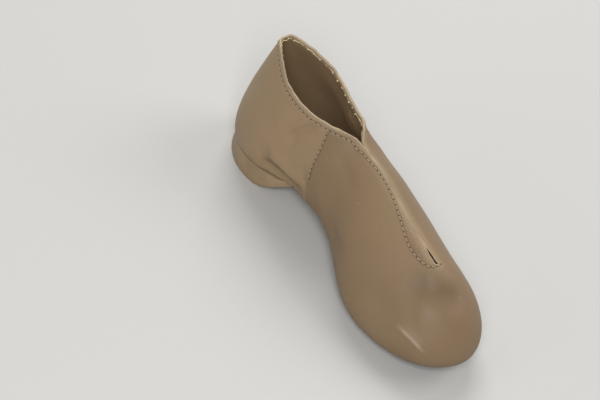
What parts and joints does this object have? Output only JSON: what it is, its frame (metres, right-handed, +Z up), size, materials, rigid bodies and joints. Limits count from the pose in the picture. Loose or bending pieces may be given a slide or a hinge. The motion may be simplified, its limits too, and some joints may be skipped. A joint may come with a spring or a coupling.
{
  "type": "jazz shoe",
  "caption": "Soft slip-on jazz shoe in tan leather with a throat slit, elastic gusset, dark forefoot sole pad and low heel; left foot.",
  "frame": {"origin": "centre of the bounding box at floor level", "axes": "toe towards -Y, heel towards +Y, +Z up, outer side of the foot towards +X"},
  "size_m": [0.0644, 0.19, 0.0694],
  "materials": {
    "tan_leather": "soft smooth leather with a light sheen",
    "tan_heel": "matte moulded heel, coloured like the leather",
    "dark_sole": "rough dark suede pad",
    "grey_sock": "matte textile sock",
    "tan_elastic": "woven elastic"
  },
  "bodies": {
    "root": {"upper": "tan_leather", "gusset": "tan_elastic", "insole": "grey_sock", "forefoot_sole": "dark_sole", "heel": "tan_heel"}
  },
  "joints": []
}
